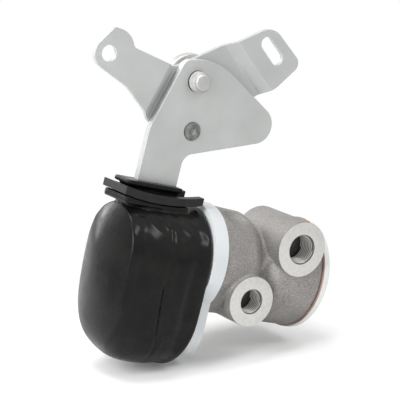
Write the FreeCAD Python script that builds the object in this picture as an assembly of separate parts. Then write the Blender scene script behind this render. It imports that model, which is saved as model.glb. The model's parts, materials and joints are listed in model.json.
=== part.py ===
import FreeCAD, Part
import math
import os

# Hydraulic load sensing valve: cast body with two ports, rubber boot and a sprung lever with its adjuster.
# Every piece is drawn about the valve's bore: X runs along the bore from the boot to the end cap, with X = 0
# at the casting's front face, Z is up along the lever, and the ports face -Y. The finished pieces are moved
# so that the origin is the centre of the mounting pad on the back of the casting, with the pad facing +Y.
# All sizes are in millimetres. OVER is how far a cutter passes the face that it opens.

OVER = 1.0
SIDE_REACH = 8.0
ON_PLANE = 1e-6

# Casting
BODY_LENGTH = 46.4
BARREL_R = 21.8
NOSE_STEP = 0.6
NOSE_R = BARREL_R - NOSE_STEP
NOSE_TAPER = 0.8
NOSE_END_R = NOSE_R - NOSE_TAPER
NOSE_LENGTH = 18.0
NOSE_ROUND = 3.0
VALLEY_DEPTH = 5.3
VALLEY_R = BARREL_R - VALLEY_DEPTH
VALLEY_X0 = 19.5
VALLEY_X1 = 22.5
VALLEY_ROUND = 2.0
BARREL_START_X = 26.0
BARREL_ROUND = 3.0
FACE_ROUND = 0.5
CAST_ROUND = 2.5
BLEND_R = 1.5

# Ports
PORT_PROUD = 0.6
PORT_FACE_Y = -BARREL_R - PORT_PROUD
UPPER_PORT_INSET = 13.9
UPPER_PORT_X = BODY_LENGTH - UPPER_PORT_INSET
UPPER_PORT_DROP = 9.1
UPPER_PORT_Z = BARREL_R - UPPER_PORT_DROP
UPPER_BOSS_R = 11.0
UPPER_BOSS_BACK_Y = 9.0
UPPER_PORT_R = 6.0
UPPER_PORT_DEPTH = 11.0
LOWER_PORT_X = 14.8
LOWER_PORT_DROP = 11.4
LOWER_PORT_Z = LOWER_PORT_DROP - BARREL_R
LOWER_BOSS_R = 10.0
LOWER_BOSS_BACK_Y = 7.0
LOWER_PORT_R = 5.0
LOWER_PORT_DEPTH = 9.5
PORT_BREAK = 0.2
UNDERCUT_LENGTH = 1.4
UNDERCUT_DEPTH = 0.5
PASSAGE_R = 2.0
WEB_R = 4.6
WEB_SETBACK = 6.9
WEB_FRONT_Y = PORT_FACE_Y + WEB_SETBACK
WEB_ROUND = 3.0

# Cast dimple on the shoulder of the nose
DIMPLE_X = 8.2
DIMPLE_R = 5.2
DIMPLE_ANGLE = 26.0
DIMPLE_DEPTH = 1.1

# Mounting pad on the back
PAD_MARGIN = 5.0
PAD_END_MARGIN = 5.4
PAD_LENGTH = BODY_LENGTH - PAD_MARGIN - PAD_END_MARGIN
PAD_X = PAD_MARGIN + PAD_LENGTH / 2
PAD_PROUD = 3.2
PAD_FACE_Y = BARREL_R + PAD_PROUD
PAD_HEIGHT = 16.0
PAD_HOLE_INSET = 7.0
PAD_HOLE_SPACING = PAD_LENGTH - 2 * PAD_HOLE_INSET
PAD_HOLE_R = 4.0
PAD_HOLE_DEPTH = 9.5

# Points on the edges where the casting's forms meet, one on each chain that is blended
BLEND_POINTS = [
    (LOWER_PORT_X - LOWER_BOSS_R / 2, PORT_FACE_Y / 2, LOWER_PORT_Z),
    (PAD_MARGIN, NOSE_R, 0.0),
    (UPPER_PORT_X + UPPER_BOSS_R / 2, 0.0, BARREL_R),
]

# Stepped bore
MOUTH_R = 9.0
MOUTH_LENGTH = 10.0
GROOVE_R = 10.2
CHAMBER_LENGTH = 20.4
CHAMBER_X = BODY_LENGTH - CHAMBER_LENGTH
CHAMBER_R = 12.5
PISTON_BORE_LENGTH = 7.5
PISTON_BORE_X = CHAMBER_X - PISTON_BORE_LENGTH
PISTON_BORE_R = 6.5
RING_GROOVE_X = 0.6
RING_GROOVE_WIDTH = 1.3
RING_GROOVE_R = 9.8

# Bush, rings and seals
BUSH_X = 2.0
FIT_GAP = 0.02
RUNNING_GAP = 0.05
SEAL_WIDTH = 2.4
SEAL_DEPTH = 1.9
GROOVE_WALL = 1.0
RING_THICKNESS = 1.1
RING_WIDTH = 1.9
RING_GAP = 5.0
RING_PLAY = 0.1

# Plunger and spring
STEM_R = 4.0
STEM_TIP_CHAMFER = 1.0
LEVER_GAP = 0.15
PISTON_LENGTH = 6.0
PISTON_PLAY = 0.5
PISTON_GROOVE_OFFSET = 1.8
TAIL_R = 3.0
TAIL_PROUD = 1.0
VALVE_HEAD_R = 6.0
VALVE_HEAD_ROOM = 4.0
VALVE_HEAD_X = CHAMBER_X + VALVE_HEAD_ROOM
VALVE_HEAD_LENGTH = 2.0
SEAT_R = 11.0
SEAT_LENGTH = 1.6
SPRING_WIRE_R = 0.9
SPRING_MEAN_R = 9.0
SPRING_TURNS = 2.5
SPRING_ROOM = 0.02

# End plug and end cap
PLUG_LENGTH = 6.0
PLUG_SOCKET_R = 4.0
PLUG_SOCKET_DEPTH = 3.5
CAP_RIM = 0.6
CAP_R = BARREL_R + CAP_RIM
CAP_THICKNESS = 3.0
CAP_ROUND = 0.8

# Base of the pivot bracket
CAGE_BASE_HALF_WIDTH = 16.8
CAGE_BASE_HALF_HEIGHT = 8.0
CAGE_BASE_CORNER_R = 3.0
CAGE_CORNER_REACH = CAGE_BASE_CORNER_R + math.hypot(
    CAGE_BASE_HALF_WIDTH - CAGE_BASE_CORNER_R, CAGE_BASE_HALF_HEIGHT - CAGE_BASE_CORNER_R
)

# Boot retainer
RETAINER_THICKNESS = 6.2
CAGE_CLEARANCE = 0.92
RETAINER_OPENING_R = CAGE_CORNER_REACH + CAGE_CLEARANCE
RETAINER_WALL = 3.4
RETAINER_R = RETAINER_OPENING_R + RETAINER_WALL
TAB_BOTTOM_Z = -38.0
TAB_HALF_WIDTH = 17.0
TAB_TOP_Z = -14.0
TAB_CORNER_R = 12.0

# Boot: sections as (x, narrowing from the retainer, z of the upper and of the lower centre), rim to front
BOOT_WALL = 2.2
BOOT_SECTIONS = [
    (-RETAINER_THICKNESS, 0.0, -1.5, -21.0),
    (-10.6, 0.5, -1.6, -21.9),
    (-15.0, 0.9, -1.7, -22.6),
    (-19.5, 1.3, -1.7, -23.1),
    (-24.0, 1.8, -1.4, -23.6),
    (-28.0, 2.4, -1.0, -23.6),
    (-31.3, 3.0, -0.6, -22.4),
    (-34.4, 3.7, -0.2, -20.5),
    (-37.6, 4.4, -0.3, -16.8),
    (-41.0, 5.0, -0.8, -10.5),
    (-45.0, 5.6, -1.4, -3.1),
]

# Front of the boot: its profile at mid width as (z, x), the radius of its bow across and its round edge
FRONT_PROFILE = [
    (-47.5, -19.5),
    (-43.0, -26.0),
    (-38.6, -32.1),
    (-31.9, -37.5),
    (-22.3, -40.7),
    (-10.0, -42.6),
    (3.0, -42.85),
    (13.4, -41.1),
    (22.0, -36.5),
]
FRONT_BOW_R = 48.0
FRONT_MARGIN = 4.0
FRONT_REACH = RETAINER_R + FRONT_MARGIN
CREST_ROUND = 1.8
CREST_X = -20.0
NECK_FLANGE_X0 = -42.4
NECK_FLANGE_X1 = -14.2
NECK_FLANGE_HALF_WIDTH = 9.0
NECK_FLANGE_Z0 = 17.3
NECK_HALF_WIDTH = 4.4
NECK_Z0 = 12.0
NECK_GAP = 0.4
LIP_HALF_WIDTH = 6.0
LIP_X0 = -41.3
LIP_X1 = -16.6
LIP_TOP_Z = 26.2
LIP_THICKNESS = 2.2
LIP_ROUND = 0.9

# Neck clip
CLIP_X0 = -43.4
CLIP_X1 = -8.6
CLIP_HALF_WIDTH = 9.0
CLIP_THICKNESS = 3.1
CLIP_LEFT_Z = 20.9
CLIP_MIDDLE_Z = 19.2
CLIP_RIGHT_Z = 21.2
CLIP_SLOT_HALF_WIDTH = 4.8
CLIP_SLOT_X0 = -39.6
CLIP_GAP = 0.2
CLIP_BAND_REACH = 5.0
CLIP_CUT_HEIGHT = 20.0

# Lever and its pin
SHEET = 3.0
LEVER_LEFT_X = -35.2
LEVER_RIGHT_X = -17.5
PIVOT_X = -24.0
PIVOT_Z = -32.5
PIN_R = 3.0
PIN_HALF_LENGTH = 8.8
SPACER_R = 4.6

# Lever outline as (x, z, corner radius)
LEVER_OUTLINE = [
    (LEVER_RIGHT_X, -39.0, 6.4),
    (-30.5, -39.0, 6.4),
    (-30.5, -8.0, 8.0),
    (LEVER_LEFT_X, 8.0, 8.0),
    (LEVER_LEFT_X, 46.5, 15.0),
    (-26.5, 74.1, 4.5),
    (-12.6, 76.9, 27.3),
    (30.9, 53.4, 7.35),
    (LEVER_RIGHT_X, 38.3, 5.0),
]

# Rivet, clamp bolt and washer
RIVET_X = -16.4
RIVET_Z = 48.0
RIVET_R = 3.5
RIVET_HEAD_R = 6.0
RIVET_HEAD_LENGTH = 2.2
RIVET_HEAD_ROUND = 1.0
RIVET_PROUD = 0.35
RIVET_DIMPLE_R0 = 1.5
RIVET_DIMPLE_R1 = 0.9
RIVET_DIMPLE_DEPTH = 0.5
BOLT_X = -19.4
BOLT_Z = 67.0
BOLT_R = 4.0
BOLT_PROUD = 5.0
BOLT_CHAMFER = 1.5
BOLT_HEAD_AF = 13.0
BOLT_HEAD_LENGTH = 5.0
WASHER_R = 9.9
WASHER_THICKNESS = 3.4
WASHER_CHAMFER = 0.4

# Adjuster bracket
BRACKET_SHEET = 2.0
ARM_FRONT_Y = -2.0
SHEET_GAP = 0.05
HOLE_X = -59.7
HOLE_Z = 70.0
HOLE_R = 3.1
SLOT_X = 10.6
SLOT_Z = 84.7
SLOT_WIDTH = 5.4
SLOT_LENGTH = 13.2
SLOT_TURN = -37.0
ADJUST_DEG = 4.0
SLOT_CLEARANCE = 0.3
JOGGLE_RUN = 4.2
BEND_R = 1.6
LEFT_LAP = 12.0

# Fold lines as (x, z, run along x, run along z), with the arm to the left of the run
RIGHT_FOLD = (-8.9, 82.3, 21.1, -16.0)
LEFT_FOLD = (-35.4, 49.4, 7.2, 22.8)

# Bracket outline as (x, z, corner radius)
BRACKET_OUTLINE = [
    (-69.0, 67.3, 5.9),
    (-59.6, 79.9, 1.5),
    (-52.4, 79.3, 8.0),
    (-49.9, 74.2, 2.0),
    (-28.8, 70.3, 5.0),
    (8.6, 94.2, 7.5),
    (25.8, 82.5, 3.5),
    (17.0, 71.5, 12.0),
    (1.5, 59.0, 10.0),
    (-9.0, 39.9, 7.5),
    (-23.5, 39.9, 8.0),
    (-48.8, 59.2, 12.0),
]
BRACKET_SPAN = math.hypot(
    max(x for x, z, r in BRACKET_OUTLINE) - min(x for x, z, r in BRACKET_OUTLINE),
    max(z for x, z, r in BRACKET_OUTLINE) - min(z for x, z, r in BRACKET_OUTLINE),
)

# Pivot bracket
CAGE_SHEET = 2.0
CAGE_EAR_Y = 5.0
CAGE_HOLE_R = 4.8
SCREW_Y = 13.0
SCREW_R = 2.0
SCREW_LENGTH = 6.5
SCREW_HEAD_R = 3.4
SCREW_HEAD_LENGTH = 2.2
SCREW_HEAD_ROUND = 0.8
SCREW_RECESS_R = 1.2
SCREW_RECESS_DEPTH = 1.2
CLIP_RING_R = 4.6
CLIP_RING_THICKNESS = 0.8
CLIP_RING_PLAY = 0.1
CLIP_RING_OPENING = 1.4

# Ear outline as (x, z, corner radius)
EAR_OUTLINE = [
    (-1.0, CAGE_BASE_HALF_HEIGHT, 0),
    (-1.0, -CAGE_BASE_HALF_HEIGHT, 0),
    (-9.5, -15.0, 3.0),
    (-17.2, -37.6, 5.0),
    (-29.8, -37.6, 5.0),
    (-30.0, -26.0, 4.0),
    (-13.0, -6.0, 5.0),
    (-9.0, CAGE_BASE_HALF_HEIGHT, 3.0),
]

TO_PAD = FreeCAD.Vector(-PAD_X, -PAD_FACE_Y, 0)
X_AXIS = FreeCAD.Vector(1, 0, 0)
Y_AXIS = FreeCAD.Vector(0, 1, 0)
Z_AXIS = FreeCAD.Vector(0, 0, 1)


def vec(x, y, z):
    return FreeCAD.Vector(x, y, z)


def save(name, shape):
    """Moves a finished piece to the pad's frame and writes it."""
    piece = shape.copy()
    piece.translate(TO_PAD)
    piece.exportStep("parts/" + name + ".step")
    solids = len(piece.Solids)
    print(name, "solids", solids, "volume", round(piece.Volume, 1), "valid", piece.isValid())


def along_x(radius, x0, x1, y=0.0, z=0.0):
    """A round bar along X."""
    return Part.makeCylinder(radius, x1 - x0, vec(x0, y, z), X_AXIS)


def along_y(radius, y0, y1, x, z):
    """A round bar along Y."""
    return Part.makeCylinder(radius, y1 - y0, vec(x, y0, z), Y_AXIS)


def block(x0, x1, y0, y1, z0, z1):
    return Part.makeBox(x1 - x0, y1 - y0, z1 - z0, vec(x0, y0, z0))


def prism(points, y0, y1):
    """A straight-sided plate between two Y planes from points in the XZ plane."""
    base = [p + vec(0, y0, 0) for p in points]
    return Part.Face(Part.makePolygon(base + [base[0]])).extrude(vec(0, y1 - y0, 0))


def turned(profile):
    """A solid of revolution about the bore from its half section as (x, radius) points."""
    points = [vec(x, 0, r) for x, r in profile]
    face = Part.Face(Part.makePolygon(points + [points[0]]))
    return face.revolve(vec(0, 0, 0), X_AXIS, 360)


def ring_x(outer, inner, x0, x1, y=0.0, z=0.0):
    return along_x(outer, x0, x1, y, z).cut(along_x(inner, x0 - OVER, x1 + OVER, y, z))


def rounded_wire(corners):
    """A closed outline in the XZ plane from (x, z, corner radius) points."""
    count = len(corners)
    edges = []
    starts = []
    ends = []
    middles = []
    for i in range(count):
        x, z, radius = corners[i]
        here = vec(x, 0, z)
        before = vec(corners[i - 1][0], 0, corners[i - 1][1])
        after = vec(corners[(i + 1) % count][0], 0, corners[(i + 1) % count][1])
        to_before = (before - here).normalize()
        to_after = (after - here).normalize()
        if radius <= 0:
            starts.append(here)
            ends.append(here)
            middles.append(None)
            continue
        half = to_before.getAngle(to_after) / 2
        run = radius / math.tan(half)
        inward = (to_before + to_after).normalize()
        centre = here + inward * (radius / math.sin(half))
        starts.append(here + to_before * run)
        ends.append(here + to_after * run)
        middles.append(centre - inward * radius)
    for i in range(count):
        if middles[i] is not None:
            edges.append(Part.Arc(starts[i], middles[i], ends[i]).toShape())
        leaving = ends[i]
        arriving = starts[(i + 1) % count]
        if leaving.distanceToPoint(arriving) > ON_PLANE:
            edges.append(Part.LineSegment(leaving, arriving).toShape())
    return Part.Wire(edges)


def plate(corners, y0, y1):
    """A flat plate between two Y planes with a rounded outline."""
    face = Part.Face(rounded_wire(corners))
    face.translate(vec(0, y0, 0))
    return face.extrude(vec(0, y1 - y0, 0))


def plate_x(corners, x0, x1):
    """A flat plate between two X planes, with (y, z, corner radius) points."""
    face = Part.Face(rounded_wire(corners))
    face.rotate(vec(0, 0, 0), Z_AXIS, 90)
    face.translate(vec(x0, 0, 0))
    return face.extrude(vec(x1 - x0, 0, 0))


def stadium(x, radius, upper, lower):
    """An upright stadium outline in the plane at X, from its radius and the z of its two centres."""
    top_z = upper + radius
    bottom_z = lower - radius
    top = Part.Arc(vec(x, -radius, upper), vec(x, 0, top_z), vec(x, radius, upper))
    bottom = Part.Arc(vec(x, radius, lower), vec(x, 0, bottom_z), vec(x, -radius, lower))
    right = Part.LineSegment(vec(x, radius, upper), vec(x, radius, lower))
    left = Part.LineSegment(vec(x, -radius, lower), vec(x, -radius, upper))
    return Part.Wire([top.toShape(), right.toShape(), bottom.toShape(), left.toShape()])


def web():
    """The rib that joins the two port bosses, with a rounded front."""
    dx = UPPER_PORT_X - LOWER_PORT_X
    dz = UPPER_PORT_Z - LOWER_PORT_Z
    length = math.hypot(dx, dz)
    rib = Part.makeBox(length, -WEB_FRONT_Y, 2 * WEB_R, vec(0, WEB_FRONT_Y, -WEB_R))
    front_edges = [
        e for e in rib.Edges
        if abs(e.BoundBox.YMax - WEB_FRONT_Y) < ON_PLANE and e.BoundBox.XLength > length / 2
    ]
    rib = rib.makeFillet(WEB_ROUND, front_edges)
    rib.rotate(vec(0, 0, 0), Y_AXIS, -math.degrees(math.atan2(dz, dx)))
    rib.translate(vec(LOWER_PORT_X, 0, LOWER_PORT_Z))
    return rib


def port_cutter(x, z, radius, depth):
    """The drilled and threaded port with its undercut at the floor and the passage to the bore."""
    floor_y = PORT_FACE_Y + depth
    bore = along_y(radius, PORT_FACE_Y - OVER, floor_y, x, z)
    undercut = along_y(radius + UNDERCUT_DEPTH, floor_y - UNDERCUT_LENGTH, floor_y, x, z)
    mouth = Part.makeCone(
        radius + PORT_BREAK, radius, PORT_BREAK, vec(x, PORT_FACE_Y, z), Y_AXIS
    )
    passage = along_y(PASSAGE_R, floor_y - OVER, OVER, x, z)
    return [bore, undercut, mouth, passage]


def casting_form():
    """The round casting: a nose for the boot, a narrower valley and a barrel for the spring."""
    section = rounded_wire([
        (0, 0, 0),
        (0, NOSE_R, FACE_ROUND),
        (NOSE_LENGTH - NOSE_ROUND, NOSE_END_R, NOSE_ROUND),
        (VALLEY_X0, VALLEY_R, VALLEY_ROUND),
        (VALLEY_X1, VALLEY_R, VALLEY_ROUND),
        (BARREL_START_X, BARREL_R, BARREL_ROUND),
        (BODY_LENGTH, BARREL_R, FACE_ROUND),
        (BODY_LENGTH, 0, 0),
    ])
    return Part.Face(section).revolve(vec(0, 0, 0), X_AXIS, 360)


def nearest_edge(shape, point):
    return min(shape.Edges, key=lambda e: e.BoundBox.Center.distanceToPoint(point))


def dimple():
    """The shallow round hollow cast in the shoulder of the nose."""
    ball_r = (DIMPLE_R ** 2 + DIMPLE_DEPTH ** 2) / (2 * DIMPLE_DEPTH)
    centre_r = NOSE_R - DIMPLE_DEPTH + ball_r
    angle = math.radians(DIMPLE_ANGLE)
    return Part.makeSphere(ball_r, vec(DIMPLE_X, -centre_r * math.sin(angle), centre_r * math.cos(angle)))


def valve_body():
    upper = along_y(UPPER_BOSS_R, PORT_FACE_Y, UPPER_BOSS_BACK_Y, UPPER_PORT_X, UPPER_PORT_Z)
    back_edge = [e for e in upper.Edges if abs(e.BoundBox.YMin - UPPER_BOSS_BACK_Y) < ON_PLANE]
    upper = upper.makeFillet(CAST_ROUND, back_edge)
    lower = along_y(LOWER_BOSS_R, PORT_FACE_Y, LOWER_BOSS_BACK_Y, LOWER_PORT_X, LOWER_PORT_Z)
    pad = block(
        PAD_X - PAD_LENGTH / 2, PAD_X + PAD_LENGTH / 2, 0, PAD_FACE_Y, -PAD_HEIGHT / 2, PAD_HEIGHT / 2
    )
    pad_edges = [e for e in pad.Edges if e.BoundBox.YLength > PAD_FACE_Y / 2]
    pad = pad.makeFillet(CAST_ROUND, pad_edges)
    casting = casting_form().fuse([upper, lower, web(), pad]).removeSplitter()
    meeting = [nearest_edge(casting, vec(*point)) for point in BLEND_POINTS]
    casting = casting.makeFillet(BLEND_R, meeting)
    bore = turned([
        (-OVER, 0),
        (-OVER, MOUTH_R),
        (MOUTH_LENGTH, MOUTH_R),
        (MOUTH_LENGTH, GROOVE_R),
        (PISTON_BORE_X, GROOVE_R),
        (PISTON_BORE_X, PISTON_BORE_R),
        (CHAMBER_X, PISTON_BORE_R),
        (CHAMBER_X, CHAMBER_R),
        (BODY_LENGTH + OVER, CHAMBER_R),
        (BODY_LENGTH + OVER, 0),
    ])
    ring_groove = along_x(RING_GROOVE_R, RING_GROOVE_X, RING_GROOVE_X + RING_GROOVE_WIDTH)
    cutters = [bore, ring_groove, dimple()]
    cutters += port_cutter(UPPER_PORT_X, UPPER_PORT_Z, UPPER_PORT_R, UPPER_PORT_DEPTH)
    cutters += port_cutter(LOWER_PORT_X, LOWER_PORT_Z, LOWER_PORT_R, LOWER_PORT_DEPTH)
    for side in (-1, 1):
        hole_x = PAD_X + side * PAD_HOLE_SPACING / 2
        cutters.append(along_y(PAD_HOLE_R, PAD_FACE_Y - PAD_HOLE_DEPTH, PAD_FACE_Y + OVER, hole_x, 0))
        cutters.append(along_x(SCREW_R, -OVER, SCREW_LENGTH + OVER, side * SCREW_Y, 0))
    return casting.cut(cutters)


def end_plug():
    """The plug that closes the spring chamber, with a socket in its outer face."""
    x0 = BODY_LENGTH - PLUG_LENGTH
    plug = along_x(CHAMBER_R - FIT_GAP, x0, BODY_LENGTH)
    groove_x = x0 + GROOVE_WALL
    groove = ring_x(CHAMBER_R + OVER, CHAMBER_R - SEAL_DEPTH, groove_x, groove_x + SEAL_WIDTH)
    socket = along_x(PLUG_SOCKET_R, BODY_LENGTH - PLUG_SOCKET_DEPTH, BODY_LENGTH + OVER)
    return plug.cut([groove, socket])


def seal_ring(outer, inner, x0):
    """A seal in its groove, a little narrower than the groove."""
    return ring_x(outer, inner, x0 + FIT_GAP, x0 + SEAL_WIDTH - FIT_GAP)


def end_cap():
    end_x = BODY_LENGTH + CAP_THICKNESS
    cap = along_x(CAP_R, BODY_LENGTH, end_x)
    rim = [e for e in cap.Edges if abs(e.BoundBox.XMin - end_x) < ON_PLANE]
    return cap.makeFillet(CAP_ROUND, rim)


def boot_retainer():
    """The plastic ring behind the boot, with a tab that closes the boot's lower end."""
    ring = along_x(RETAINER_R, -RETAINER_THICKNESS, 0)
    tab_corners = [
        (-TAB_HALF_WIDTH, TAB_TOP_Z, 0),
        (TAB_HALF_WIDTH, TAB_TOP_Z, 0),
        (TAB_HALF_WIDTH, TAB_BOTTOM_Z, TAB_CORNER_R),
        (-TAB_HALF_WIDTH, TAB_BOTTOM_Z, TAB_CORNER_R),
    ]
    tab = plate_x(tab_corners, -RETAINER_THICKNESS, 0)
    opening = along_x(RETAINER_OPENING_R, -RETAINER_THICKNESS - OVER, OVER)
    return ring.fuse(tab).removeSplitter().cut(opening)


def front_block(inset):
    """All that lies behind the boot's bowed front, which is moved back by the inset."""
    sag = FRONT_BOW_R - math.sqrt(FRONT_BOW_R ** 2 - FRONT_REACH ** 2)
    wires = []
    for z, x in FRONT_PROFILE:
        front = vec(x + inset, 0, z)
        near = vec(x + inset + sag, -FRONT_REACH, z)
        far = vec(x + inset + sag, FRONT_REACH, z)
        back_far = vec(OVER, FRONT_REACH, z)
        back_near = vec(OVER, -FRONT_REACH, z)
        arc = Part.Arc(near, front, far).toShape()
        wires.append(Part.Wire([arc] + Part.makePolygon([far, back_far, back_near, near]).Edges))
    return Part.makeLoft(wires, True, False)


def boot_form(inset):
    """The boot's outer form, or its inner one when inset by the wall."""
    wires = []
    for x, narrowing, upper, lower in BOOT_SECTIONS:
        if not wires:
            x -= inset
        wires.append(stadium(x, RETAINER_R - narrowing - inset, upper, lower))
    side = Part.makeLoft(wires, True, False)
    return side.common(front_block(inset)).Solids[0]


def clip_band(low, high, half_width):
    """The band between two copies of the clip's bow, from one height to another above it."""
    x0 = CLIP_X0 - CLIP_BAND_REACH
    x1 = CLIP_X1 + CLIP_BAND_REACH
    bow = (x1 - x0) ** 2 / (CLIP_X1 - CLIP_X0) ** 2
    left_z = CLIP_MIDDLE_Z + (CLIP_LEFT_Z - CLIP_MIDDLE_Z) * bow
    right_z = CLIP_MIDDLE_Z + (CLIP_RIGHT_Z - CLIP_MIDDLE_Z) * bow
    middle = (x0 + x1) / 2
    lower = Part.Arc(vec(x0, 0, left_z + low), vec(middle, 0, CLIP_MIDDLE_Z + low), vec(x1, 0, right_z + low))
    upper = Part.Arc(vec(x1, 0, right_z + high), vec(middle, 0, CLIP_MIDDLE_Z + high), vec(x0, 0, left_z + high))
    right = Part.LineSegment(lower.EndPoint, upper.StartPoint)
    left = Part.LineSegment(upper.EndPoint, lower.StartPoint)
    face = Part.Face(Part.Wire([lower.toShape(), right.toShape(), upper.toShape(), left.toShape()]))
    face.translate(vec(0, -half_width, 0))
    return face.extrude(vec(0, 2 * half_width, 0))


def boot():
    """The rubber boot over the lever's foot, with its neck, flange and lip round the lever."""
    flange = block(
        NECK_FLANGE_X0,
        NECK_FLANGE_X1,
        -NECK_FLANGE_HALF_WIDTH,
        NECK_FLANGE_HALF_WIDTH,
        NECK_FLANGE_Z0,
        CLIP_RIGHT_Z + CLIP_THICKNESS,
    )
    flange = flange.cut(clip_band(-CLIP_GAP, CLIP_CUT_HEIGHT, NECK_FLANGE_HALF_WIDTH + OVER))
    lip_bottom_z = LIP_TOP_Z - LIP_THICKNESS
    neck_x0 = CLIP_SLOT_X0 + NECK_GAP
    neck_x1 = LIP_X1 - OVER
    neck = block(neck_x0, neck_x1, -NECK_HALF_WIDTH, NECK_HALF_WIDTH, NECK_Z0, lip_bottom_z + OVER)
    lip = block(LIP_X0, LIP_X1, -LIP_HALF_WIDTH, LIP_HALF_WIDTH, lip_bottom_z, LIP_TOP_Z)
    lip = lip.makeFillet(LIP_ROUND, [e for e in lip.Edges if abs(e.BoundBox.ZMin - LIP_TOP_Z) < ON_PLANE])
    form = boot_form(0)
    form = form.makeFillet(CREST_ROUND, [e for e in form.Edges if e.BoundBox.XMax < CREST_X])
    body = form.fuse([flange, neck, lip])
    throat = block(
        LEVER_LEFT_X - NECK_GAP,
        LEVER_RIGHT_X + NECK_GAP,
        -SHEET / 2 - NECK_GAP,
        SHEET / 2 + NECK_GAP,
        0,
        LIP_TOP_Z + OVER,
    )
    opening = along_x(RETAINER_OPENING_R, -RETAINER_THICKNESS - BOOT_WALL - OVER, -RETAINER_THICKNESS + OVER)
    return body.cut([boot_form(BOOT_WALL), throat, opening])


def neck_clip():
    """The sprung plate that grips the boot's neck, bowed along its length and open at one end."""
    low_z = CLIP_MIDDLE_Z - CLIP_BAND_REACH
    high_z = CLIP_RIGHT_Z + CLIP_CUT_HEIGHT
    trim = block(CLIP_X0, CLIP_X1, -CLIP_HALF_WIDTH, CLIP_HALF_WIDTH, low_z, high_z)
    slot = block(
        CLIP_SLOT_X0, CLIP_X1 + OVER, -CLIP_SLOT_HALF_WIDTH, CLIP_SLOT_HALF_WIDTH, low_z, high_z
    )
    return clip_band(0, CLIP_THICKNESS, CLIP_HALF_WIDTH + OVER).common(trim).cut(slot)


def lever():
    """The sheet lever: a foot on its pin, a neck through the boot and a flag for the adjuster."""
    sheet = plate(LEVER_OUTLINE, -SHEET / 2, SHEET / 2)
    holes = [
        along_y(PIN_R + RUNNING_GAP, -SHEET, SHEET, PIVOT_X, PIVOT_Z),
        along_y(RIVET_R, -SHEET, SHEET, RIVET_X, RIVET_Z),
        along_y(BOLT_R, -SHEET, SHEET, BOLT_X, BOLT_Z),
    ]
    return sheet.cut(holes)


def fold_frame(fold):
    """A fold line as a point on it, its direction and the direction out to the arm."""
    x, z, run_x, run_z = fold
    along = vec(run_x, 0, run_z).normalize()
    return vec(x, 0, z), along, vec(-along.z, 0, along.x)


def joggled_strip(fold, reach_in, reach_out):
    """A long sheet strip that steps from behind the lever to the arm's plane across one fold line."""
    point, along, outward = fold_frame(fold)
    back_y = SHEET / 2 + SHEET_GAP
    section = [
        (-reach_in, back_y),
        (0, back_y),
        (JOGGLE_RUN, ARM_FRONT_Y),
        (reach_out, ARM_FRONT_Y),
        (reach_out, ARM_FRONT_Y + BRACKET_SHEET),
        (JOGGLE_RUN, ARM_FRONT_Y + BRACKET_SHEET),
        (0, back_y + BRACKET_SHEET),
        (-reach_in, back_y + BRACKET_SHEET),
    ]
    start = point - along * BRACKET_SPAN
    points = [start + outward * run + vec(0, y, 0) for run, y in section]
    strip = Part.Face(Part.makePolygon(points + [points[0]])).extrude(along * 2 * BRACKET_SPAN)
    bends = [
        e for e in strip.Edges
        if e.Length > BRACKET_SPAN
        and -ON_PLANE < (e.CenterOfMass - point).dot(outward) < JOGGLE_RUN + ON_PLANE
    ]
    return strip.makeFillet(BEND_R, bends)


def outside_fold(fold):
    """All that lies on the arm's side of a fold line."""
    point, along, outward = fold_frame(fold)
    near = point - along * BRACKET_SPAN
    far = point + along * BRACKET_SPAN
    outer = outward * BRACKET_SPAN
    return prism([near, far, far + outer, near + outer], -SIDE_REACH, SIDE_REACH)


def slot_bar(x, z, width, length, turn):
    """A bar with round ends that cuts a slot through the bracket."""
    half = (length - width) / 2
    bar = block(-half, half, -SIDE_REACH, SIDE_REACH, -width / 2, width / 2)
    ends = [along_y(width / 2, -SIDE_REACH, SIDE_REACH, side * half, 0) for side in (-1, 1)]
    bar = bar.fuse(ends)
    bar.rotate(vec(0, 0, 0), Y_AXIS, -turn)
    bar.translate(vec(x, 0, z))
    return bar


def arc_slot():
    """The clamp bolt's curved slot, centred on the rivet."""
    radius = math.hypot(BOLT_X - RIVET_X, BOLT_Z - RIVET_Z)
    start = math.degrees(math.atan2(BOLT_Z - RIVET_Z, BOLT_X - RIVET_X))
    width = BOLT_R + SLOT_CLEARANCE
    depth = 2 * SIDE_REACH
    sector = Part.makeCylinder(radius + width, depth, vec(0, 0, 0), Z_AXIS, ADJUST_DEG)
    sector = sector.cut(Part.makeCylinder(radius - width, depth))
    sector.rotate(vec(0, 0, 0), Z_AXIS, start - ADJUST_DEG)
    ends = []
    for turn in (start, start - ADJUST_DEG):
        angle = math.radians(turn)
        centre = vec(radius * math.cos(angle), radius * math.sin(angle), 0)
        ends.append(Part.makeCylinder(width, depth, centre))
    slot = sector.fuse(ends)
    slot.rotate(vec(0, 0, 0), X_AXIS, 90)
    slot.translate(vec(RIVET_X, SIDE_REACH, RIVET_Z))
    return slot


def adjuster_bracket():
    """The adjuster: two arms in one plane, stepped back behind the lever between them."""
    silhouette = plate(BRACKET_OUTLINE, -SIDE_REACH, SIDE_REACH)
    right = joggled_strip(RIGHT_FOLD, BRACKET_SPAN, BRACKET_SPAN).cut(outside_fold(LEFT_FOLD))
    left = joggled_strip(LEFT_FOLD, LEFT_LAP, BRACKET_SPAN)
    sheet = left.fuse(right).removeSplitter().common(silhouette)
    cutters = [
        along_y(RIVET_R + RUNNING_GAP, -SIDE_REACH, SIDE_REACH, RIVET_X, RIVET_Z),
        along_y(HOLE_R, -SIDE_REACH, SIDE_REACH, HOLE_X, HOLE_Z),
        slot_bar(SLOT_X, SLOT_Z, SLOT_WIDTH, SLOT_LENGTH, SLOT_TURN),
        arc_slot(),
    ]
    return sheet.cut(cutters)


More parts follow.
